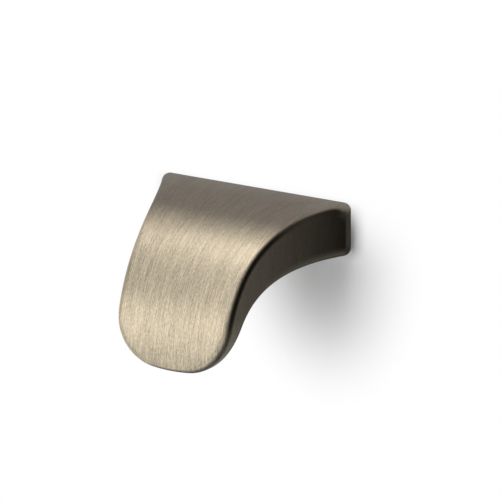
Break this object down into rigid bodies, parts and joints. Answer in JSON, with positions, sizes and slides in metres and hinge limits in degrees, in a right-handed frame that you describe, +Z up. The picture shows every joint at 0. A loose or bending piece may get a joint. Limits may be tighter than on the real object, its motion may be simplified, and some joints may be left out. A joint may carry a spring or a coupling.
{
  "type": "cabinet knob",
  "caption": "Cast cabinet knob in brushed antique brass: a flared tongue leaves the door level and curls down into a rounded finger lip, with a tapped hole in its back.",
  "frame": {"origin": "middle of the screw hole's mouth, on the foot's back face, which sits on the door", "axes": "+X to the right seen from the front, +Y into the door with the knob reaching out along -Y, +Z up"},
  "size_m": [0.036, 0.0281, 0.0245],
  "materials": {
    "antique_brass": "brushed along the tongue, darkened on the sides and under the lip"
  },
  "bodies": {
    "root": {"knob": "antique_brass"}
  },
  "joints": []
}
